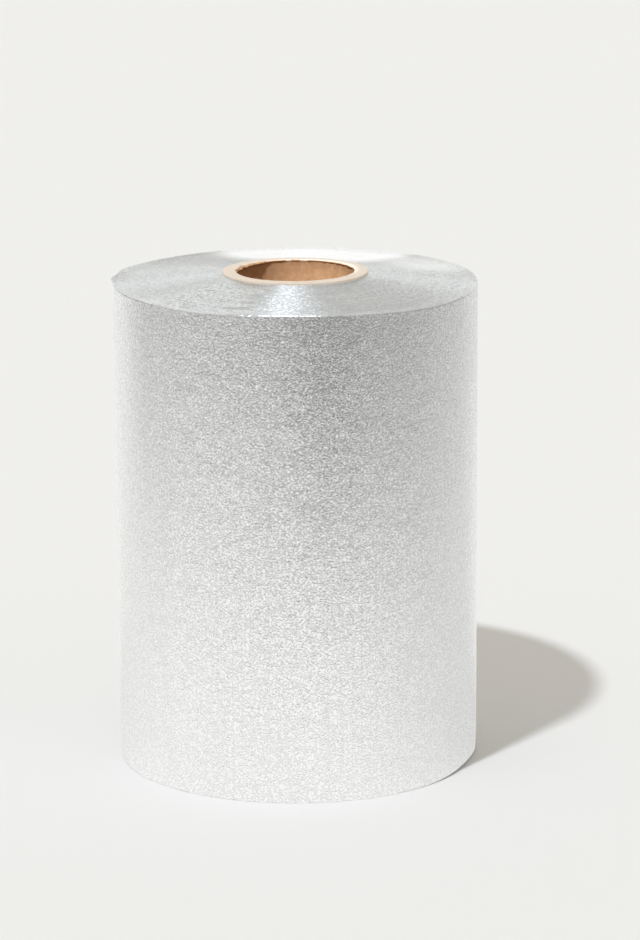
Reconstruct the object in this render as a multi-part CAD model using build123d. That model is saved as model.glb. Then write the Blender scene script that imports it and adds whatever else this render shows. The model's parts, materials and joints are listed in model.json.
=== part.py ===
from build123d import *
import os

# Roll of embossed aluminium foil, standing on one end with its axis along Z.
# The origin is on the axis, at the level of the outermost turns' lower edge.
# Every turn has the sheet's full width, and the inner turns have slid up along the axis,
# so the upper end is a low cone round the core and the lower end is the same cone, hollow.

# Driving dimensions, in millimetres and degrees
foil_width = 127.0        # width of the sheet, and so of every turn
roll_diameter = 95.0      # across the outermost turn, through the step at its loose end
core_bore = 31.0          # inside diameter of the paperboard core
core_wall = 3.5           # thickness of the core's wall
core_overhang = 0.4       # how far each end of the core stands past the innermost turns
core_chamfer = 0.25       # bevel that the knife leaves on the edges of the core's cut ends
telescope = 2.4           # how far the innermost turns have slid past the outermost ones
rim_land = 4.0            # radial depth of the outermost turns, which stay level and carry the roll
band_count = 12           # bands of turns between the core and the rim, each slid a little further
tail_step = 0.2           # how far the loose end stands off the turn beneath it
tail_angle = 118.0        # where the loose end lies, counted from +X, behind the roll

# Sizes that follow from them
bore_radius = core_bore / 2
core_radius = bore_radius + core_wall
core_length = foil_width + 2 * core_overhang
tail_start_radius = (roll_diameter - tail_step) / 2
land_radius = roll_diameter / 2 - rim_land
band_depth = (land_radius - core_radius) / band_count
band_slide = telescope / band_count


def end_profile(rim_height):
    """Points (radius, height) along one end of the winding, from the core out to the rim.

    Each band of turns is level, and stands one slide higher than the band outside it.
    """
    points = []
    for band in range(band_count):
        height = rim_height + telescope - band * band_slide
        inner_edge = core_radius + band * band_depth
        points += [(inner_edge, height), (inner_edge + band_depth, height)]
    past_the_rim = roll_diameter / 2 + rim_land
    return points + [(land_radius, rim_height), (past_the_rim, rim_height)]


def turned_ends():
    """Ring with the winding's two ends, left wider than the roll for the outer turn to trim."""
    upper = end_profile(foil_width)
    lower = end_profile(0)
    with BuildPart() as ring:
        with BuildSketch(Plane.XZ):
            with BuildLine():
                Polyline(*upper, *reversed(lower), close=True)
            make_face()
        revolve(axis=Axis.Z)
    return ring.part


def outer_turn():
    """Column inside the outermost turn: a spiral of two half turns, closed by the loose end's step.

    The second half turn is struck from half a step off the axis, so it meets the first one
    smoothly and ends a whole step further out.
    """
    start = tail_start_radius
    half_step = tail_step / 2
    with BuildPart() as column:
        with BuildSketch():
            with BuildLine():
                ThreePointArc((start, 0), (0, start), (-start, 0))
                ThreePointArc((-start, 0), (half_step, -start - half_step), (start + tail_step, 0))
                Line((start + tail_step, 0), (start, 0))
            make_face()
        extrude(amount=foil_width + telescope)
    return Rot(0, 0, tail_angle) * column.part


def foil_winding():
    """All the turns of foil as one solid."""
    return turned_ends() & outer_turn()


def cardboard_core():
    """Paperboard tube that the foil is wound on, slid up with the innermost turns."""
    with BuildPart() as tube:
        with BuildSketch(Plane.XY.offset(telescope - core_overhang)):
            Circle(core_radius)
            Circle(bore_radius, mode=Mode.SUBTRACT)
        extrude(amount=core_length)
        chamfer(tube.edges().filter_by(GeomType.CIRCLE), length=core_chamfer)
    return tube.part


os.makedirs("parts", exist_ok=True)
for name, shape in {"foil_winding": foil_winding(), "cardboard_core": cardboard_core()}.items():
    export_step(shape, f"parts/{name}.step")
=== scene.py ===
import bpy
import json
import math
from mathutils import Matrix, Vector


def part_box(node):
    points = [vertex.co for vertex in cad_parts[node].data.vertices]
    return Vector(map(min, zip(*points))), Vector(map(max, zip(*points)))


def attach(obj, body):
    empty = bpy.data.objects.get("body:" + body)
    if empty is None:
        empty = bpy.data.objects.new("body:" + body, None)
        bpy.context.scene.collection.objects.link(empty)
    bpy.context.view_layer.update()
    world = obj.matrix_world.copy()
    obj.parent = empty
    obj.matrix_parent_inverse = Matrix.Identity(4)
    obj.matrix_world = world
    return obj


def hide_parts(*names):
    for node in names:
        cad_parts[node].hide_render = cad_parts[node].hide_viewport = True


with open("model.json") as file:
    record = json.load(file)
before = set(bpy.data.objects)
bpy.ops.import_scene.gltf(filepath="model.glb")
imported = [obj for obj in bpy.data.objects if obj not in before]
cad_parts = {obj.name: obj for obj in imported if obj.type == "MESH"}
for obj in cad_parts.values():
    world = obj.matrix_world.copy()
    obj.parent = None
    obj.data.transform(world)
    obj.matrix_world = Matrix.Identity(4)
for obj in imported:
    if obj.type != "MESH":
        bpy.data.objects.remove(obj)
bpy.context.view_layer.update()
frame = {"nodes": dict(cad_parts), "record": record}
scene = bpy.context.scene
scene.view_settings.view_transform = "Standard"
fullTurn = 2 * math.pi
noiseMiddle = 0.5       # what noise swings about
weldReach = 0.000002    # points closer than this become one
endFacing = 0.5         # a face whose normal rises more than this belongs to an end
print("frame loaded, solids:", sorted(frame["nodes"]))

# Small helpers for building node trees, the same for shaders and Geometry Nodes

socketKinds = {
    int: "NodeSocketInt",
    float: "NodeSocketFloat",
    bpy.types.Material: "NodeSocketMaterial",
}


def addNode(tree, kind, **settings):
    node = tree.nodes.new(kind)
    for key, value in settings.items():
        setattr(node, key, value)
    return node


def feed(tree, socket, value):
    # a socket is linked, anything else becomes the input's own value
    if isinstance(value, bpy.types.NodeSocket):
        tree.links.new(value, socket)
    else:
        socket.default_value = value


def calc(tree, operation, *values):
    node = addNode(tree, "ShaderNodeMath", operation=operation)
    for socket, value in zip(node.inputs, values):
        feed(tree, socket, value)
    return node.outputs[0]


def blendNumber(tree, share, low, high):
    # low at share 0, high at share 1
    return calc(tree, "MULTIPLY_ADD", share, calc(tree, "SUBTRACT", high, low), low)


def ramp(tree, value, start, end):
    # 0 before start, 1 after end, eased in between
    node = addNode(tree, "ShaderNodeMapRange", interpolation_type="SMOOTHSTEP")
    feed(tree, node.inputs["Value"], value)
    feed(tree, node.inputs["From Min"], start)
    feed(tree, node.inputs["From Max"], end)
    return node.outputs["Result"]


def joinXyz(tree, x, y, z):
    node = addNode(tree, "ShaderNodeCombineXYZ")
    for socket, value in zip(node.inputs, (x, y, z)):
        feed(tree, socket, value)
    return node.outputs[0]


def splitXyz(tree, vector):
    node = addNode(tree, "ShaderNodeSeparateXYZ")
    feed(tree, node.inputs[0], vector)
    return node.outputs[0], node.outputs[1], node.outputs[2]


def noise(tree, vector, scale, detail=1.0, roughness=0.5):
    node = addNode(tree, "ShaderNodeTexNoise")
    feed(tree, node.inputs["Vector"], vector)
    feed(tree, node.inputs["Scale"], scale)
    feed(tree, node.inputs["Detail"], detail)
    feed(tree, node.inputs["Roughness"], roughness)
    return node.outputs["Fac"] if "Fac" in node.outputs else node.outputs[0]


def polar(tree, vector):
    # distance from the roll's axis, angle round it, and height
    x, y, z = splitXyz(tree, vector)
    squares = calc(tree, "ADD", calc(tree, "MULTIPLY", x, x), calc(tree, "MULTIPLY", y, y))
    return calc(tree, "SQRT", squares), calc(tree, "ARCTAN2", y, x), z


def product(tree, first, *others):
    for other in others:
        first = calc(tree, "MULTIPLY", first, other)
    return first


def scaledXy(tree, x, y, amount, z):
    # x and y times amount, and z as it is
    return joinXyz(tree, calc(tree, "MULTIPLY", x, amount), calc(tree, "MULTIPLY", y, amount), z)


def swing(tree, value, amount):
    # noise made to go up and down about 0
    return calc(tree, "MULTIPLY", calc(tree, "SUBTRACT", value, noiseMiddle), amount)


def nearAngle(tree, angle, middle, sharpness):
    # 1 at the middle, less on both sides of it
    turned = calc(tree, "COSINE", calc(tree, "SUBTRACT", angle, middle))
    return calc(tree, "EXPONENT", product(tree, calc(tree, "SUBTRACT", turned, 1.0), sharpness))


# Helpers for Geometry Nodes alone


def startTree(name, knobs):
    tree = bpy.data.node_groups.new(name, "GeometryNodeTree")
    tree.interface.new_socket("Geometry", in_out="OUTPUT", socket_type="NodeSocketGeometry")
    for knob, value in knobs.items():
        tree.interface.new_socket(knob, in_out="INPUT", socket_type=socketKinds[type(value)])
    inlet = addNode(tree, "NodeGroupInput")
    return tree, {knob: inlet.outputs[knob] for knob in knobs}


def sheetGrid(tree, columns, rows):
    # flat grid of vertices, with each vertex's column and row number to place it by
    grid = addNode(tree, "GeometryNodeMeshGrid")
    rowPoints = calc(tree, "ADD", rows, 1)
    feed(tree, grid.inputs["Vertices X"], calc(tree, "ADD", columns, 1))
    feed(tree, grid.inputs["Vertices Y"], rowPoints)
    index = addNode(tree, "GeometryNodeInputIndex").outputs[0]
    column = calc(tree, "FLOOR", calc(tree, "DIVIDE", index, rowPoints))
    row = calc(tree, "SUBTRACT", index, calc(tree, "MULTIPLY", column, rowPoints))
    return grid.outputs["Mesh"], column, row


def placeRound(tree, mesh, radius, angle, height, flip):
    setter = addNode(tree, "GeometryNodeSetPosition")
    x = calc(tree, "MULTIPLY", radius, calc(tree, "COSINE", angle))
    y = calc(tree, "MULTIPLY", radius, calc(tree, "SINE", angle))
    feed(tree, setter.inputs["Geometry"], mesh)
    feed(tree, setter.inputs["Position"], joinXyz(tree, x, y, height))
    if not flip:
        return setter.outputs[0]
    flipper = addNode(tree, "GeometryNodeFlipFaces")
    feed(tree, flipper.inputs[0], setter.outputs[0])
    return flipper.outputs[0]


def weld(tree, sheets):
    joined = addNode(tree, "GeometryNodeJoinGeometry")
    for sheet in sheets:
        tree.links.new(sheet, joined.inputs[0])
    merged = addNode(tree, "GeometryNodeMergeByDistance")
    feed(tree, merged.inputs["Geometry"], joined.outputs[0])
    feed(tree, merged.inputs["Distance"], weldReach)
    return merged.outputs[0]


def shiftPoints(tree, mesh, offset):
    setter = addNode(tree, "GeometryNodeSetPosition")
    feed(tree, setter.inputs["Geometry"], mesh)
    feed(tree, setter.inputs["Offset"], offset)
    return setter.outputs[0]


def awayFromEdges(tree, share, margin):
    # 0 at both edges, 1 further in than the margin
    far = calc(tree, "SUBTRACT", 1.0, margin)
    return product(tree, ramp(tree, share, 0.0, margin), ramp(tree, share, 1.0, far))


def endTree(tree, mesh, wallFinish, endFinish, sharpAngle, alsoEnd=0.0, notEnd=0.0):
    # smooth faces with sharp corners, then one finish on the walls and one on the two ends
    smooth = addNode(tree, "GeometryNodeSetShadeSmooth", domain="FACE")
    feed(tree, smooth.inputs[0], mesh)
    bend = addNode(tree, "GeometryNodeInputMeshEdgeAngle").outputs["Unsigned Angle"]
    sharp = addNode(tree, "GeometryNodeSetShadeSmooth", domain="EDGE")
    feed(tree, sharp.inputs[0], smooth.outputs[0])
    feed(tree, sharp.inputs["Selection"], calc(tree, "GREATER_THAN", bend, sharpAngle))
    feed(tree, sharp.inputs["Shade Smooth"], False)
    realized = addNode(tree, "GeometryNodeRealizeInstances")
    feed(tree, realized.inputs[0], sharp.outputs[0])
    walls = addNode(tree, "GeometryNodeSetMaterial")
    feed(tree, walls.inputs["Geometry"], realized.outputs[0])
    feed(tree, walls.inputs["Material"], wallFinish)
    normal = addNode(tree, "GeometryNodeInputNormal").outputs[0]
    upward = calc(tree, "ABSOLUTE", splitXyz(tree, normal)[2])
    ends = addNode(tree, "GeometryNodeSetMaterial")
    feed(tree, ends.inputs["Geometry"], walls.outputs[0])
    share = calc(tree, "SUBTRACT", calc(tree, "ADD", upward, alsoEnd), notEnd)
    feed(tree, ends.inputs["Selection"], calc(tree, "GREATER_THAN", share, endFacing))
    feed(tree, ends.inputs["Material"], endFinish)
    outlet = addNode(tree, "NodeGroupOutput")
    tree.links.new(ends.outputs[0], outlet.inputs[0])


def makePiece(name, tree, knobs):
    # runs the tree once and keeps the result as a plain mesh
    piece = bpy.data.objects.new(name, bpy.data.meshes.new(name))
    scene.collection.objects.link(piece)
    shaper = piece.modifiers.new("shape", "NODES")
    shaper.node_group = tree
    for item in tree.interface.items_tree:
        if item.in_out == "INPUT":
            shaper[item.identifier] = knobs[item.name]
    evaluated = piece.evaluated_get(bpy.context.evaluated_depsgraph_get())
    made = bpy.data.meshes.new_from_object(evaluated)
    piece.modifiers.clear()
    piece.data = made
    print("made", name, len(made.vertices), "vertices", len(made.loop_triangles), "triangles")
    return piece


# Finishes


def startMaterial(name):
    material = bpy.data.materials.new(name)
    material.use_nodes = True
    tree = material.node_tree
    shader = tree.nodes["Principled BSDF"]
    place = addNode(tree, "ShaderNodeTexCoord").outputs["Object"]
    return material, tree, shader, place


def mixColour(tree, share, low, high):
    node = addNode(tree, "ShaderNodeMix", data_type="RGBA")
    feed(tree, node.inputs["Factor"], share)
    feed(tree, node.inputs[6], (*low, 1.0) if isinstance(low, tuple) else low)
    feed(tree, node.inputs[7], (*high, 1.0) if isinstance(high, tuple) else high)
    return node.outputs[2]


def bump(tree, height, depth, under=None):
    node = addNode(tree, "ShaderNodeBump")
    feed(tree, node.inputs["Height"], height)
    feed(tree, node.inputs["Distance"], depth)
    if under is not None:
        feed(tree, node.inputs["Normal"], under)
    return node.outputs["Normal"]


def tiltedNormal(tree, place, size, amount, push=(0.0, 0.0, 0.0)):
    # every small facet leans its own way, and all of them along push
    lean = addNode(tree, "ShaderNodeTexNoise")
    feed(tree, lean.inputs["Vector"], place)
    feed(tree, lean.inputs["Scale"], 1 / size)
    feed(tree, lean.inputs["Detail"], 1.0)
    centred = addNode(tree, "ShaderNodeVectorMath", operation="SUBTRACT")
    feed(tree, centred.inputs[0], lean.outputs["Color"])
    feed(tree, centred.inputs[1], (noiseMiddle, noiseMiddle, noiseMiddle))
    leaning = addNode(tree, "ShaderNodeVectorMath", operation="MULTIPLY_ADD")
    feed(tree, leaning.inputs[0], centred.outputs[0])
    feed(tree, leaning.inputs[1], joinXyz(tree, amount, amount, amount))
    pushed = addNode(tree, "ShaderNodeVectorMath", operation="ADD")
    feed(tree, pushed.inputs[0], addNode(tree, "ShaderNodeNewGeometry").outputs["Normal"])
    feed(tree, pushed.inputs[1], push)
    feed(tree, leaning.inputs[2], pushed.outputs[0])
    unit = addNode(tree, "ShaderNodeVectorMath", operation="NORMALIZE")
    feed(tree, unit.inputs[0], leaning.outputs[0])
    return unit.outputs[0]


skinLook = {
    "grainSize": 0.00078,      # lattice of the embossed wrinkles
    "grainWidth": 0.22,        # how much of the lattice their valleys take
    "grainDepth": 0.00002,
    "facetSize": 0.0005,       # lattice of the small facets that sparkle
    "facetTilt": 0.31,
    "colour": (1.0, 1.0, 0.995),
    # painted shade: the valleys of the embossing are coloured darker
    "pitShadeColour": (0.84, 0.845, 0.845),
    "roughness": (0.26, 0.16),     # in the valleys and on the rest
}


def embossedFoil(look):
    material, tree, shader, place = startMaterial("embossed foil")
    swell = noise(tree, place, 1 / look["grainSize"], detail=1.6, roughness=0.55)
    offMiddle = calc(tree, "ABSOLUTE", calc(tree, "MULTIPLY_ADD", swell, 2.0, -1.0))
    grain = ramp(tree, offMiddle, 0.0, look["grainWidth"])
    # painted shade: the valleys of the wrinkles get the darker pit colour
    colour = mixColour(tree, grain, look["pitShadeColour"], look["colour"])
    feed(tree, shader.inputs["Base Color"], colour)
    feed(tree, shader.inputs["Roughness"], blendNumber(tree, grain, *look["roughness"]))
    shader.inputs["Metallic"].default_value = 1.0
    facets = tiltedNormal(tree, place, look["facetSize"], look["facetTilt"])
    feed(tree, shader.inputs["Normal"], bump(tree, grain, look["grainDepth"], facets))
    return material


endLook = {
    "turnSpacing": 0.00045,    # radial size of the fine lines left by the edges of the turns
    "lineLength": 0.0014,      # how far one runs round the axis
    "lineDepth": 0.00001,
    "lineLean": 0.15,          # how far the edges of the turns lean in and out
    "broadScale": (40.0, 420.0),   # broader lines per metre, round the axis and across the turns
    "broadWeight": 0.5,        # against the fine lines
    "speckSize": 0.0008,
    "speckWeight": 0.6,        # against the lines
    "brightSpread": (0.38, 0.62),
    "colour": (0.86, 0.89, 0.905),
    "dullColour": (0.68, 0.714, 0.735),
    "facetSize": 0.0006,
    "facetTilt": (0.8, 0.3),   # of most turns, and where they lie flush
    "roughness": (0.45, 0.48),     # of the turns in front and behind
    "behindSpread": (-0.2, 0.8),   # sines of the angles between which that changes
    "stretch": 0.76,           # how much further highlights spread across the turns than along them
    "glintLength": 0.0065,     # here and there the edge of a turn leans in and glints
    "glintWidth": 0.0008,
    "glintShare": (0.52, 0.60),
    "glintSeed": 11.0,
    "glintLean": 0.17,
    "glintRoughness": 0.22,
    "glintMiddle": math.radians(-109),     # in one sector in front
    "glintHalf": (math.radians(50), math.radians(26)),
    "speckShare": (0.36, 0.54),    # and so do small specks there
    "speckStrength": 0.95,
    "flareLean": 0.34,         # straight in front they lean out instead
    "flareMiddle": math.radians(-86),
    "flareHalf": (math.radians(27), math.radians(13)),
    "flareWander": math.radians(36),   # some turns do so further round than others
    "flushMiddle": (0.0054, 0.0475),   # the turns lie flush in a patch behind the core
    "flushReach": (0.0288, 0.0385),
    "flushShare": (1.10, 0.80),        # of that reach, where the patch begins and where it is whole
    "flushWander": 0.6,
    # painted highlight: lighter colours for the patch where the highlight falls behind the core
    "flushHighlightColour": (0.99, 0.995, 1.0),
    "flushHighlightDullColour": (0.88, 0.905, 0.92),
    "flushRoughness": 0.24,
    "sideMiddle": (0.034, 0.022),      # and nearly so beside it on the right
    "sideReach": (0.019, 0.019),
    "sideShare": (1.0, 0.3),
    "sideStrength": 0.5,
}


def flushPatch(tree, spot, wander, middle, reach, share):
    # 1 in the patch, 0 outside it, with an uneven edge
    sideways = calc(tree, "DIVIDE", calc(tree, "SUBTRACT", spot[0], middle[0]), reach[0])
    inwards = calc(tree, "DIVIDE", calc(tree, "SUBTRACT", spot[1], middle[1]), reach[1])
    off = polar(tree, joinXyz(tree, sideways, inwards, 0.0))[0]
    return ramp(tree, calc(tree, "ADD", off, wander), *share)


def offAngle(tree, angle, middle):
    return calc(tree, "ABSOLUTE", calc(tree, "SUBTRACT", angle, middle))


def turnEdges(look):
    material, tree, shader, place = startMaterial("edges of the turns")
    radius, angle = polar(tree, place)[:2]
    x, y = splitXyz(tree, place)[:2]
    # lines along the turns, and specks
    fineAcross = calc(tree, "MULTIPLY", radius, 1 / look["turnSpacing"])
    finePlace = scaledXy(tree, x, y, 1 / look["lineLength"], fineAcross)
    fine = noise(tree, finePlace, 1.0, detail=3.0, roughness=0.6)
    broadAlong, broadAcross = look["broadScale"]
    broadPlace = scaledXy(tree, x, y, broadAlong, calc(tree, "MULTIPLY", radius, broadAcross))
    broad = noise(tree, broadPlace, 1.0, detail=2.0)
    specks = noise(tree, place, 1 / look["speckSize"], detail=2.0, roughness=0.6)
    lines = blendNumber(tree, look["broadWeight"], fine, broad)
    mixed = blendNumber(tree, look["speckWeight"], lines, specks)
    bright = ramp(tree, mixed, *look["brightSpread"])
    colour = mixColour(tree, bright, look["dullColour"], look["colour"])
    # where the turns lie flush, and the lighter colour there is a painted highlight
    wander = swing(tree, mixed, look["flushWander"])
    flush = flushPatch(tree, (x, y), wander, look["flushMiddle"], look["flushReach"], look["flushShare"])
    beside = flushPatch(tree, (x, y), wander, look["sideMiddle"], look["sideReach"], look["sideShare"])
    flush = calc(tree, "MAXIMUM", flush, calc(tree, "MULTIPLY", beside, look["sideStrength"]))
    # painted highlight: the patch behind the core and the one beside it get a lighter colour
    flushHighlightColour = mixColour(tree, bright, look["flushHighlightDullColour"], look["flushHighlightColour"])
    feed(tree, shader.inputs["Base Color"], mixColour(tree, flush, colour, flushHighlightColour))
    shader.inputs["Metallic"].default_value = 1.0
    shader.inputs["Anisotropic"].default_value = look["stretch"]
    feed(tree, shader.inputs["Tangent"], joinXyz(tree, x, y, 0.0))
    # where they glint, and which way they lean there
    glintAcross = calc(tree, "MULTIPLY_ADD", radius, 1 / look["glintWidth"], look["glintSeed"])
    glintPlace = scaledXy(tree, x, y, 1 / look["glintLength"], glintAcross)
    glint = ramp(tree, noise(tree, glintPlace, 1.0), *look["glintShare"])
    speck = calc(tree, "MULTIPLY", ramp(tree, specks, *look["speckShare"]), look["speckStrength"])
    inSector = ramp(tree, offAngle(tree, angle, look["glintMiddle"]), *look["glintHalf"])
    glint = product(tree, calc(tree, "MAXIMUM", glint, speck), inSector)
    fray = swing(tree, broad, look["flareWander"])
    offFlare = calc(tree, "ADD", offAngle(tree, angle, look["flareMiddle"]), fray)
    flare = ramp(tree, offFlare, *look["flareHalf"])
    smooth = calc(tree, "MULTIPLY", glint, calc(tree, "SUBTRACT", 1.0, flare))
    behind = ramp(tree, calc(tree, "SINE", angle), *look["behindSpread"])
    loose = blendNumber(tree, smooth, blendNumber(tree, behind, *look["roughness"]), look["glintRoughness"])
    feed(tree, shader.inputs["Roughness"], blendNumber(tree, flush, loose, look["flushRoughness"]))
    way = blendNumber(tree, flare, -look["glintLean"], look["flareLean"])
    uneven = swing(tree, fine, look["lineLean"])
    lean = calc(tree, "DIVIDE", calc(tree, "MULTIPLY_ADD", glint, way, uneven), radius)
    tilt = blendNumber(tree, flush, *look["facetTilt"])
    facets = tiltedNormal(tree, place, look["facetSize"], tilt, scaledXy(tree, x, y, lean, 0.0))
    feed(tree, shader.inputs["Normal"], bump(tree, fine, look["lineDepth"], facets))
    return material


kraftLook = {
    "colour": (0.48, 0.275, 0.142),
    "darkColour": (0.40, 0.222, 0.108),
    "fibreSize": 0.0014,
    "fibreSpread": (0.34, 0.66),
    "fibreDepth": 0.00006,
    "roughness": 0.85,
    "gloss": 0.25,
}


def kraftPaper(look):
    material, tree, shader, place = startMaterial("kraft paper")
    fibres = noise(tree, place, 1 / look["fibreSize"], detail=4.0, roughness=0.65)
    pale = ramp(tree, fibres, *look["fibreSpread"])
    feed(tree, shader.inputs["Base Color"], mixColour(tree, pale, look["darkColour"], look["colour"]))
    shader.inputs["Roughness"].default_value = look["roughness"]
    shader.inputs["Specular IOR Level"].default_value = look["gloss"]
    feed(tree, shader.inputs["Normal"], bump(tree, fibres, look["fibreDepth"]))
    return material


cutLook = {
    "colour": (0.86, 0.75, 0.635),
    "plyColour": (0.72, 0.57, 0.43),
    "plies": 6.0,
    "plyLine": 0.16,           # width of the line between two plies, as a share of one
    "plyWander": 0.06,
    "wanderScale": 320.0,
    "fuzzScale": 2200.0,
    "fuzzSpread": (0.2, 0.75),
    "depth": 0.00005,
    "roughness": 0.9,
    "gloss": 0.2,
}


def cutPaperboard(look, boreRadius, wall):
    material, tree, shader, place = startMaterial("cut paperboard")
    radius = polar(tree, place)[0]
    wander = noise(tree, place, look["wanderScale"], detail=2.0)
    share = calc(tree, "DIVIDE", calc(tree, "SUBTRACT", radius, boreRadius), wall)
    wavy = calc(tree, "MULTIPLY_ADD", wander, look["plyWander"], share)
    ply = calc(tree, "MULTIPLY", wavy, look["plies"])
    line = ramp(tree, calc(tree, "PINGPONG", ply, 0.5), look["plyLine"], 0.0)
    fuzz = noise(tree, place, look["fuzzScale"], detail=3.0, roughness=0.6)
    mask = calc(tree, "MULTIPLY", line, ramp(tree, fuzz, *look["fuzzSpread"]))
    feed(tree, shader.inputs["Base Color"], mixColour(tree, mask, look["colour"], look["plyColour"]))
    shader.inputs["Roughness"].default_value = look["roughness"]
    shader.inputs["Specular IOR Level"].default_value = look["gloss"]
    feed(tree, shader.inputs["Normal"], bump(tree, calc(tree, "SUBTRACT", fuzz, mask), look["depth"]))
    return material


# The roll of foil

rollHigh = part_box("foil_winding")[1]
coreLow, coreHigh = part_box("cardboard_core")
rollSizes = {
    "columns": 440,            # round the roll
    "wall rows": 168,          # up the roll
    "end rows": 22,            # from the core out to the rim
    "rim radius": rollHigh.y,
    "core radius": coreHigh.x,
    "telescope": 0.0024,       # how far the innermost turns have slid up
    "rim land": 0.004,         # level turns at the rim
    "rim bevel": 0.0002,
    "foot bevel": 0.00008,
    "tail step": 0.0002,       # how far the loose end stands off
    "tail angle": math.radians(118),
    "sharp angle": math.radians(32),   # edges that bend more than this stay sharp
    "emboss size": 0.0016,
    "emboss height": 0.00008,
    "emboss margin": 0.012,    # share of the wall at its edges where the embossing fades
    "ridge scale": 700.0,      # ridges on the ends, per metre
    "ridge drift": 0.0008,     # how much they change round the axis
    "ridge height": 0.00008,
    "ridge margin": 0.1,
    "wobble scale": 160.0,
    "rim wobble": 0.00012,
    "lip angle": math.radians(176),
    "lip sharpness": 1500.0,
    "lip depth": 0.0022,
    "lip reach": 0.0009,       # how far a bent lip of the rim stands out
    "rise depth": 0.012,       # how far down the uneven upper end is felt
    "rise margin": 0.0003,
    "rear rise": 0.0005,       # how far the upper end stands up at the back
    "rear start": -0.05,       # sines of the angles between which it does so
    "rear full": 0.25,
    "right dip angle": math.radians(-42),
    "right dip sharpness": 6.0,
    "right dip": 0.0011,       # and how far it sinks on both sides of the front
    "left dip angle": math.radians(-122),
    "left dip sharpness": 25.0,
    "left dip": 0.0006,
    "tip angle": math.radians(166),
    "tip sharpness": 45.0,
    "tip rise": 0.0006,        # and how much further the outermost turns stand up here
    "tip depth": 0.0028,
    "tip margin": 0.0006,
    "crease angle": math.radians(-17),
    "crease sharpness": 25.0,
    "crease height": 0.005,
    "crease rise": 0.0014,     # where the lower edge is turned up off the floor
    "dent angle": math.radians(2),
    "dent sharpness": 25.0,
    "dent height": 0.007,
    "dent foot": 0.0005,
    "dent depth": 0.0002,      # and pushed in beside it
}
rollSizes["sheet width"] = rollHigh.z - rollSizes["telescope"]


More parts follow.
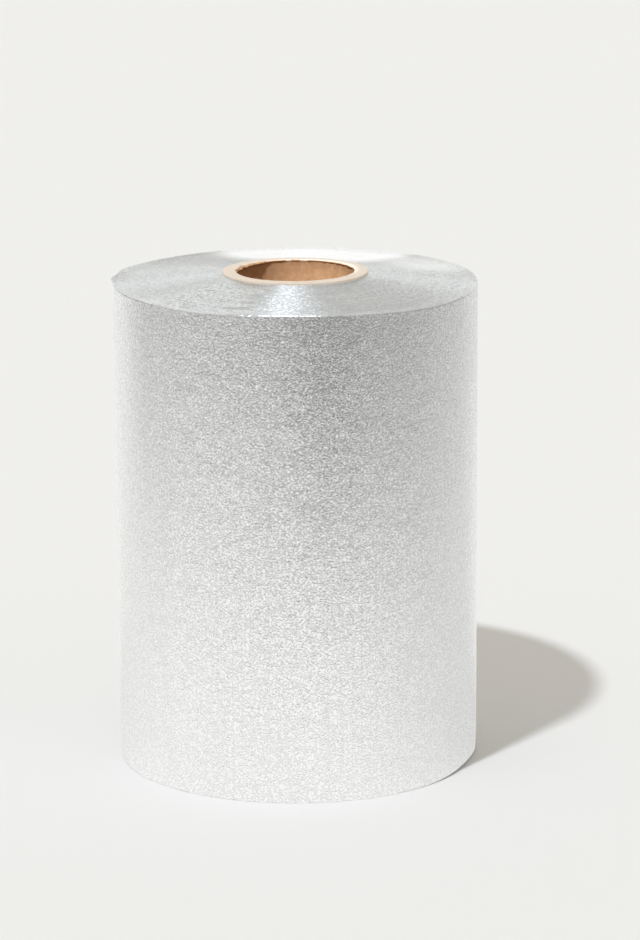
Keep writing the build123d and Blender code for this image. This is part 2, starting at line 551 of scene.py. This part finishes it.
def windingTree(knobs):
    tree, k = startTree("foil winding", knobs)
    startRadius = calc(tree, "SUBTRACT", k["rim radius"], k["tail step"])
    landRadius = calc(tree, "SUBTRACT", k["rim radius"], k["rim land"])
    lastColumn = calc(tree, "ADD", k["columns"], 1)

    def sheet(rows):
        # one more column than the circle needs: it is the step at the loose end
        mesh, column, row = sheetGrid(tree, lastColumn, rows)
        share = calc(tree, "DIVIDE", calc(tree, "MINIMUM", column, k["columns"]), k["columns"])
        turned = calc(tree, "MULTIPLY", share, fullTurn)
        angle = calc(tree, "ADD", turned, k["tail angle"])
        onSheet = calc(tree, "LESS_THAN", column, calc(tree, "ADD", k["columns"], 0.5))
        laterHalf = calc(tree, "GREATER_THAN", turned, math.pi)
        growth = calc(tree, "MULTIPLY", calc(tree, "ADD", calc(tree, "COSINE", turned), 1.0), 0.5)
        stepOut = product(tree, growth, k["tail step"], laterHalf, onSheet)
        return mesh, angle, row, calc(tree, "ADD", startRadius, stepOut)

    def wall():
        mesh, angle, row, radius = sheet(k["wall rows"])
        share = calc(tree, "DIVIDE", row, k["wall rows"])
        top = calc(tree, "SUBTRACT", k["sheet width"], k["rim bevel"])
        height = blendNumber(tree, share, k["foot bevel"], top)
        spot = scaledXy(tree, calc(tree, "COSINE", angle), calc(tree, "SINE", angle), radius, height)
        pebble = noise(tree, spot, calc(tree, "DIVIDE", 1.0, k["emboss size"]))
        swell = swing(tree, pebble, k["emboss height"])
        pushed = calc(tree, "MULTIPLY_ADD", swell, awayFromEdges(tree, share, k["emboss margin"]), radius)
        return placeRound(tree, mesh, pushed, angle, height, False)

    def end(rimHeight, bevel, bevelSign, flip):
        mesh, angle, row, radius = sheet(k["end rows"])
        lastFlat = calc(tree, "SUBTRACT", k["end rows"], 1)
        share = calc(tree, "DIVIDE", calc(tree, "MINIMUM", row, lastFlat), lastFlat)
        onBevel = calc(tree, "GREATER_THAN", row, calc(tree, "ADD", lastFlat, 0.5))
        outer = calc(tree, "SUBTRACT", radius, bevel)
        flatRadius = blendNumber(tree, share, k["core radius"], outer)
        slide = addNode(tree, "ShaderNodeMapRange")
        feed(tree, slide.inputs["Value"], flatRadius)
        feed(tree, slide.inputs["From Min"], landRadius)
        feed(tree, slide.inputs["From Max"], k["core radius"])
        feed(tree, slide.inputs["To Max"], k["telescope"])
        driftX = calc(tree, "MULTIPLY", calc(tree, "COSINE", angle), k["ridge drift"])
        driftY = calc(tree, "MULTIPLY", calc(tree, "SINE", angle), k["ridge drift"])
        bands = noise(tree, joinXyz(tree, flatRadius, driftX, driftY), k["ridge scale"])
        fade = awayFromEdges(tree, share, k["ridge margin"])
        ridge = product(tree, swing(tree, bands, k["ridge height"]), fade)
        slid = calc(tree, "MAXIMUM", calc(tree, "ADD", slide.outputs[0], ridge), 0.0)
        height = calc(tree, "ADD", slid, rimHeight)
        drop = product(tree, bevel, bevelSign, onBevel)
        endRadius = blendNumber(tree, onBevel, flatRadius, radius)
        return placeRound(tree, mesh, endRadius, angle, calc(tree, "SUBTRACT", height, drop), flip)

    def bore():
        mesh, angle, row = sheet(1)[:3]
        height = calc(tree, "MULTIPLY_ADD", row, k["sheet width"], k["telescope"])
        return placeRound(tree, mesh, k["core radius"], angle, height, True)

    upperEnd = end(k["sheet width"], k["rim bevel"], 1.0, True)
    lowerEnd = end(0.0, k["foot bevel"], -1.0, False)
    body = weld(tree, [wall(), upperEnd, lowerEnd, bore()])
    place = addNode(tree, "GeometryNodeInputPosition").outputs[0]
    radius, angle, height = polar(tree, place)
    x, y = splitXyz(tree, place)[:2]
    nearRim = ramp(tree, radius, landRadius, k["rim radius"])

    def near(name):
        return nearAngle(tree, angle, k[name + " angle"], k[name + " sharpness"])

    def belowTop(name):
        return calc(tree, "SUBTRACT", k["sheet width"], k[name])

    def insideRim(name):
        return calc(tree, "SUBTRACT", k["rim radius"], k[name])

    # outwards: the bent lip, a slight wobble, and the dent
    nearTop = ramp(tree, height, belowTop("lip depth"), k["sheet width"])
    lip = product(tree, near("lip"), k["lip reach"], nearTop, nearRim)
    sway = noise(tree, place, k["wobble scale"], detail=2.0)
    wobble = product(tree, swing(tree, sway, k["rim wobble"]), nearRim)
    lowDown = ramp(tree, height, k["dent height"], k["dent foot"])
    dent = product(tree, near("dent"), lowDown, nearRim, k["dent depth"])
    moved = calc(tree, "SUBTRACT", calc(tree, "ADD", lip, wobble), dent)
    out = calc(tree, "DIVIDE", moved, k["rim radius"])
    # upwards: the uneven upper end, its tip, and the crease in the lower edge
    upper = ramp(tree, height, belowTop("rise depth"), belowTop("rise margin"))
    rearShare = ramp(tree, calc(tree, "SINE", angle), k["rear start"], k["rear full"])
    rightDip = product(tree, near("right dip"), k["right dip"])
    leftDip = product(tree, near("left dip"), k["left dip"])
    dips = calc(tree, "ADD", rightDip, leftDip)
    level = calc(tree, "SUBTRACT", product(tree, rearShare, k["rear rise"]), dips)
    level = product(tree, level, calc(tree, "DIVIDE", radius, k["rim radius"]))
    outermost = ramp(tree, radius, insideRim("tip depth"), insideRim("tip margin"))
    tip = product(tree, near("tip"), outermost, k["tip rise"])
    rise = product(tree, calc(tree, "ADD", level, tip), upper)
    atFoot = ramp(tree, height, k["crease height"], 0.0)
    crease = product(tree, near("crease"), atFoot, nearRim, k["crease rise"])
    body = shiftPoints(tree, body, scaledXy(tree, x, y, out, calc(tree, "ADD", rise, crease)))
    endTree(tree, body, k["wall finish"], k["end finish"], k["sharp angle"])
    return tree


rollSizes["wall finish"] = embossedFoil(skinLook)
rollSizes["end finish"] = turnEdges(endLook)
roll = makePiece("foilRoll", windingTree(rollSizes), rollSizes)
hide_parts("foil_winding")
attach(roll, "root")

# The paperboard core

boreRadius = frame["record"]["mounts"][0]["dims"]["r_mm"] / 1000
coreSizes = {
    "columns": 240,
    "wall rows": 120,
    "end rows": 14,
    "bore radius": boreRadius,
    "core radius": coreHigh.x,
    "bottom": coreLow.z,
    "top": coreHigh.z,
    "edge bevel": 0.0002,
    "sharp angle": math.radians(40),
    "ply ridge": 0.00004,
    "inner ply": 0.0009,       # depth of the wall that the seam and the tears reach
    "seam pitch": 0.058,       # rise of the ply's seam in one turn
    "seam width": 0.012,       # as a share of a turn
    "seam depth": 0.00018,
    "tear scale": 420.0,       # tears in the cut edge, per metre
    "tear start": 0.3,
    "tear full": 0.7,
    "burr reach": 0.0004,      # how far the knife's burr stands into the bore
    "burr depth": 0.0005,
    "flap reach": 0.0015,      # the inner ply has come away and folds into the bore here
    "flap middle": math.radians(150),
    "flap half": math.radians(44),
    "flap full half": math.radians(8),
    "flap least": 0.7,         # what the tears leave of it, and what they change
    "flap change": 0.5,
}


def coreTree(knobs):
    tree, k = startTree("paperboard core", knobs)

    def sheet(rows):
        mesh, column, row = sheetGrid(tree, k["columns"], rows)
        angle = calc(tree, "MULTIPLY", calc(tree, "DIVIDE", column, k["columns"]), fullTurn)
        return mesh, angle, row

    def bevelled(low, high):
        # both ends of a stretch, drawn in by the bevel
        return calc(tree, "ADD", low, k["edge bevel"]), calc(tree, "SUBTRACT", high, k["edge bevel"])

    def wall(radius, flip):
        # rows crowd towards both ends, where the cut edges are
        mesh, angle, row = sheet(k["wall rows"])
        halfTurn = calc(tree, "MULTIPLY", calc(tree, "DIVIDE", row, k["wall rows"]), math.pi)
        share = calc(tree, "MULTIPLY_ADD", calc(tree, "COSINE", halfTurn), -0.5, 0.5)
        height = blendNumber(tree, share, *bevelled(k["bottom"], k["top"]))
        return placeRound(tree, mesh, radius, angle, height, flip)

    def end(level, sign, flip):
        mesh, angle, row = sheet(k["end rows"])
        inside = calc(tree, "LESS_THAN", row, 0.5)
        outside = calc(tree, "GREATER_THAN", row, calc(tree, "SUBTRACT", k["end rows"], 0.5))
        corner = calc(tree, "ADD", inside, outside)
        flatRows = calc(tree, "SUBTRACT", k["end rows"], 2)
        flatShare = calc(tree, "DIVIDE", calc(tree, "SUBTRACT", row, 1), flatRows)
        flat = blendNumber(tree, flatShare, *bevelled(k["bore radius"], k["core radius"]))
        radius = blendNumber(tree, outside, flat, k["core radius"])
        radius = blendNumber(tree, inside, radius, k["bore radius"])
        odd = calc(tree, "MODULO", row, 2)
        ridge = product(tree, odd, k["ply ridge"], calc(tree, "SUBTRACT", 1.0, corner))
        inwards = calc(tree, "MULTIPLY_ADD", corner, k["edge bevel"], ridge)
        height = calc(tree, "SUBTRACT", level, calc(tree, "MULTIPLY", inwards, sign))
        return placeRound(tree, mesh, radius, angle, height, flip)

    walls = [wall(k["bore radius"], True), wall(k["core radius"], False)]
    ends = [end(k["top"], 1.0, True), end(k["bottom"], -1.0, False)]
    body = weld(tree, walls + ends)
    place = addNode(tree, "GeometryNodeInputPosition").outputs[0]
    radius, angle, height = polar(tree, place)
    x, y = splitXyz(tree, place)[:2]
    inner = ramp(tree, radius, calc(tree, "ADD", k["bore radius"], k["inner ply"]), k["bore radius"])
    # the seam climbs round the bore
    turns = calc(tree, "DIVIDE", angle, fullTurn)
    climb = calc(tree, "ADD", turns, calc(tree, "DIVIDE", height, k["seam pitch"]))
    offSeam = calc(tree, "PINGPONG", climb, 0.5)
    seam = product(tree, ramp(tree, offSeam, k["seam width"], 0.0), k["seam depth"])
    # the burr and the flap stand into the bore at the top
    ragged = noise(tree, place, k["tear scale"], detail=3.0, roughness=0.65)
    torn = ramp(tree, ragged, k["tear start"], k["tear full"])
    halfBevel = calc(tree, "MULTIPLY", k["edge bevel"], 0.5)
    burrFoot = calc(tree, "SUBTRACT", k["top"], k["burr depth"])
    atTop = ramp(tree, height, burrFoot, calc(tree, "SUBTRACT", k["top"], halfBevel))
    offFlap = calc(tree, "ARCCOSINE", calc(tree, "COSINE", calc(tree, "SUBTRACT", angle, k["flap middle"])))
    folded = ramp(tree, offFlap, k["flap half"], k["flap full half"])
    frayed = calc(tree, "MULTIPLY_ADD", torn, k["flap change"], k["flap least"])
    flap = product(tree, folded, frayed, k["flap reach"])
    burr = product(tree, atTop, calc(tree, "MULTIPLY_ADD", torn, k["burr reach"], flap))
    push = product(tree, calc(tree, "SUBTRACT", seam, burr), inner)
    out = calc(tree, "DIVIDE", push, radius)
    body = shiftPoints(tree, body, scaledXy(tree, x, y, out, 0.0))
    # the outer wall is cut paperboard too, and what folds into the bore is not
    middle = calc(tree, "MULTIPLY", calc(tree, "ADD", k["bore radius"], k["core radius"]), 0.5)
    outerWall = calc(tree, "GREATER_THAN", radius, middle)
    insideBore = calc(tree, "LESS_THAN", radius, k["bore radius"])
    endTree(tree, body, k["wall finish"], k["end finish"], k["sharp angle"], outerWall, insideBore)
    return tree


coreSizes["wall finish"] = kraftPaper(kraftLook)
coreSizes["end finish"] = cutPaperboard(cutLook, boreRadius, coreHigh.x - boreRadius)
core = makePiece("paperCore", coreTree(coreSizes), coreSizes)
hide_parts("cardboard_core")
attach(core, "root")

# Stage: floor, light and camera

stageLook = {
    "floorColour": (0.863, 0.863, 0.847),
    "floorReach": 6.0,
    "frontColour": (0.32, 0.32, 0.32),     # of the horizon before the roll and behind it
    "backColour": (1.21, 1.21, 1.195),
    "backSpread": (0.40, 0.75),
    "zenithColour": (0.62, 0.59, 0.545),
    "skyFade": (0.2, 0.5),     # the sky darkens between these heights, 0 at the horizon and 1 overhead
    "keyStrength": 1.58,
    "keyColour": (0.881, 0.927, 1.0),
    "keyTravel": (0.016, 0.063, -0.127),   # where the key light's rays go
    "keyWidth": math.radians(3.0),
    "boreStrength": 8.2,       # a narrow lamp beside the key reaches into the core
    "boreTravel": (0.030, 0.058, -0.127),
    "boreSpread": 0.0143,
    "boreEdge": 0.03,
    "boreAim": (0.0007, 0.0007),       # off the axis, clear of the core's cut end
    "boreDistance": 0.31,
    "boreWidth": 0.002,
    "flagRadius": 0.069,       # a flag widens the shadow on the right, as a lamp close by would
    "flagBase": 0.985,         # its lower edge, as a share of the roll's radius
    "flagLevel": 0.0005,
    "flagDrop": 0.001,         # how far its upper edge stays below the rim
    "flagEnd": math.radians(100),      # its flare eases off from straight behind to here
    # the apron is a card that glows, seen only in reflections: its colours are a painted reflection of the
    # floor, with painted shade
    "reflectedColour": (0.755, 0.755, 0.742),  # of the floor, as the foil shows it
    "glowColour": (0.94, 0.94, 0.93),  # on the side where it is palest
    "glowSide": math.radians(-38),     # from straight ahead to the right
    "glowSpread": (-0.75, 0.75),
    "behindColour": (0.96, 0.96, 0.95),
    "behindSpread": (-0.5, -0.9),
    "apronStart": 0.0478,
    "apronEnd": 1.6,
    "apronLevel": 0.00015,
    "apronFade": (0.18, 0.71),     # the floor's reflection darkens between these distances
    "apronLean": 0.08,             # they are this much nearer on the right, further on the left
    "apronDarkest": 0.85,
    "apronSide": math.radians(18),     # where it is darkest, from straight ahead to the right
    "apronSpread": math.radians(45),   # how quickly that eases off to both sides
    "apronLeast": 0.45,            # what is left of it far from there
    "paleSpread": (-0.62, -0.32),  # the apron pales behind the roll's sides
    "paleRest": 0.10,
    "rightSpread": (-0.6, 0.6),    # and less so on the right
    "rightRest": 0.45,
    "rightBlend": (-0.2, 0.2),
    "leftShade": 0.055,            # it is a little darker on the left, near the roll
    "leftAngle": math.radians(177),
    "leftSharpness": 12.0,
    "cardColour": (0.33, 0.33, 0.33),
    "cardHeight": 1.1,
    "cardArc": (math.radians(-142), math.radians(138)),   # from straight ahead to the right
}


def plainMaterial(name, colour):
    material = bpy.data.materials.new(name)
    material.use_nodes = True
    shader = material.node_tree.nodes["Principled BSDF"]
    shader.inputs["Base Color"].default_value = (*colour, 1.0)
    shader.inputs["Roughness"].default_value = 1.0
    shader.inputs["Specular IOR Level"].default_value = 0.0
    return material


def stagePiece(name, points, faces, material, unseenBy=()):
    mesh = bpy.data.meshes.new(name)
    mesh.from_pydata(points, [], faces)
    mesh.materials.append(material)
    piece = bpy.data.objects.new(name, mesh)
    scene.collection.objects.link(piece)
    for ray in unseenBy:
        setattr(piece, "visible_" + ray, False)


def stripFaces(steps):
    return [(2 * i, 2 * i + 1, 2 * i + 3, 2 * i + 2) for i in range(steps)]


def shadowFlag(look, rimRadius, height, steps=60):
    # flared skirt on the side away from the key light, clear of the light that reaches the roll
    travel = Vector(look["keyTravel"])
    away = math.atan2(travel.y, travel.x)
    slope = -travel.z / math.hypot(travel.x, travel.y)
    base = rimRadius * look["flagBase"]
    start = -math.acos(-slope * (look["flagRadius"] - base) / height)   # the light grazes it there
    points = []
    for step in range(steps + 1):
        turn = start + (look["flagEnd"] - start) * step / steps
        ease = 0.5 + 0.5 * math.cos(math.pi * max(turn, 0.0) / look["flagEnd"])
        brim = base + (look["flagRadius"] - base) * ease
        for radius, level in ((base, look["flagLevel"]), (brim, height)):
            points.append((radius * math.cos(away + turn), radius * math.sin(away + turn), level))
    unseenBy = ("camera", "diffuse", "glossy", "transmission")
    stagePiece("shadowFlag", points, stripFaces(steps), plainMaterial("flag", look["cardColour"]), unseenBy)


def apronPaintedReflection(look):
    # painted reflection of the floor on a card that glows and is seen only in reflections: pale round the
    # roll, darker further out, and most of all towards the apron's own side
    material, tree, shader, place = startMaterial("apron painted reflection")
    radius, angle = polar(tree, place)[:2]
    x, y = splitXyz(tree, place)[:2]
    frontness = calc(tree, "DIVIDE", calc(tree, "MULTIPLY", y, -1.0), radius)
    rightness = calc(tree, "DIVIDE", x, radius)
    ahead = blendNumber(tree, ramp(tree, frontness, *look["paleSpread"]), look["paleRest"], 1.0)
    aheadRight = blendNumber(tree, ramp(tree, frontness, *look["rightSpread"]), look["rightRest"], 1.0)
    ahead = blendNumber(tree, ramp(tree, rightness, *look["rightBlend"]), ahead, aheadRight)
    side = calc(tree, "COSINE", calc(tree, "SUBTRACT", angle, look["apronSide"] - math.pi / 2))
    offSide = calc(tree, "ARCCOSINE", side)
    nearSide = calc(tree, "EXPONENT", calc(tree, "MULTIPLY", offSide, -1 / look["apronSpread"]))
    share = calc(tree, "MULTIPLY", blendNumber(tree, nearSide, look["apronLeast"], 1.0), ahead)
    near, far = look["apronFade"]
    reach = calc(tree, "MULTIPLY_ADD", x, look["apronLean"], radius)
    fade = calc(tree, "DIVIDE", calc(tree, "SUBTRACT", reach, near), far - near)
    fade = calc(tree, "MAXIMUM", calc(tree, "MINIMUM", fade, 1.0), 0.0)
    depth = product(tree, fade, share, look["apronDarkest"])
    # painted shade in that reflection, on the left near the roll
    onLeft = nearAngle(tree, angle, look["leftAngle"], look["leftSharpness"])
    shade = calc(tree, "MULTIPLY", onLeft, calc(tree, "SUBTRACT", 1.0, fade))
    depth = calc(tree, "MULTIPLY_ADD", shade, look["leftShade"], depth)
    towards = calc(tree, "COSINE", calc(tree, "SUBTRACT", angle, look["glowSide"] - math.pi / 2))
    glow = ramp(tree, towards, *look["glowSpread"])
    pale = mixColour(tree, glow, look["reflectedColour"], look["glowColour"])
    pale = mixColour(tree, ramp(tree, frontness, *look["behindSpread"]), pale, look["behindColour"])
    # the card glows with these colours instead of being lit
    feed(tree, shader.inputs["Emission Color"], mixColour(tree, depth, pale, (0.0, 0.0, 0.0)))
    shader.inputs["Emission Strength"].default_value = 1.0
    shader.inputs["Base Color"].default_value = (0.0, 0.0, 0.0, 1.0)
    shader.inputs["Specular IOR Level"].default_value = 0.0
    return material


def cardStrip(name, arc, inner, outer, material, steps=48):
    # strip between two (radius, height) pairs, swept round the roll and seen in reflections only
    points = []
    for step in range(steps + 1):
        angle = arc[0] + (arc[1] - arc[0]) * step / steps
        for radius, height in (inner, outer):
            points.append((radius * math.sin(angle), -radius * math.cos(angle), height))
    stagePiece(name, points, stripFaces(steps), material, ("camera", "diffuse", "shadow"))


def makeSky(look):
    world = bpy.data.worlds.new("studio")
    scene.world = world
    world.use_nodes = True
    tree = world.node_tree
    direction = addNode(tree, "ShaderNodeTexCoord").outputs["Generated"]
    back, rise = splitXyz(tree, direction)[1:]
    behind = ramp(tree, back, *look["backSpread"])
    horizon = mixColour(tree, behind, look["frontColour"], look["backColour"])
    colour = mixColour(tree, ramp(tree, rise, *look["skyFade"]), horizon, look["zenithColour"])
    feed(tree, tree.nodes["Background"].inputs["Color"], colour)


def addLamp(name, kind, strength, colour, travel):
    lamp = bpy.data.objects.new(name, bpy.data.lights.new(name, kind))
    lamp.data.energy = strength
    lamp.data.color = colour
    lamp.rotation_mode = "QUATERNION"
    lamp.rotation_quaternion = travel.to_track_quat("-Z", "Y")
    scene.collection.objects.link(lamp)
    return lamp


def makeStage(look):
    reach = look["floorReach"]
    corners = [(-reach, -reach, 0), (reach, -reach, 0), (reach, reach, 0), (-reach, reach, 0)]
    stagePiece("floor", corners, [(0, 1, 2, 3)], plainMaterial("pale floor", look["floorColour"]))
    apron = (look["apronStart"], look["apronLevel"]), (look["apronEnd"], look["apronLevel"])
    cardStrip("apron", (0.0, fullTurn), *apron, apronPaintedReflection(look))
    wall = (look["apronEnd"], 0.0), (look["apronEnd"], look["cardHeight"])
    cardStrip("frontCard", look["cardArc"], *wall, plainMaterial("dark card", look["cardColour"]))
    shadowFlag(look, rollSizes["rim radius"], rollSizes["sheet width"] - look["flagDrop"])
    makeSky(look)
    key = addLamp("key", "SUN", look["keyStrength"], look["keyColour"], Vector(look["keyTravel"]))
    key.data.angle = look["keyWidth"]
    travel = Vector(look["boreTravel"]).normalized()
    bore = addLamp("boreLight", "SPOT", look["boreStrength"], look["keyColour"], travel)
    bore.data.spot_size = 2 * math.atan(look["boreSpread"] / look["boreDistance"])
    bore.data.spot_blend = look["boreEdge"]
    bore.data.shadow_soft_size = look["boreWidth"]
    bore.scale.y = -travel.z   # flattened, so that its pool of light in the mouth is round
    mouth = Vector((*look["boreAim"], coreHigh.z))
    bore.location = mouth - travel * look["boreDistance"]


makeStage(stageLook)

cameraView = {
    "lens": 144.744,           # on the default 36 mm sensor, along the frame's long side
    "place": (0.006144, -0.968018, 0.305823),
    "pitch": math.radians(13.336),
    "roll": math.radians(-0.357),
}


def makeCamera(view):
    camera = bpy.data.objects.new("camera", bpy.data.cameras.new("camera"))
    camera.data.lens = view["lens"]
    camera.location = view["place"]
    camera.rotation_mode = "ZYX"
    camera.rotation_euler = (math.pi / 2 - view["pitch"], 0, view["roll"])
    scene.collection.objects.link(camera)
    scene.camera = camera


makeCamera(cameraView)
print("stage and camera ready")
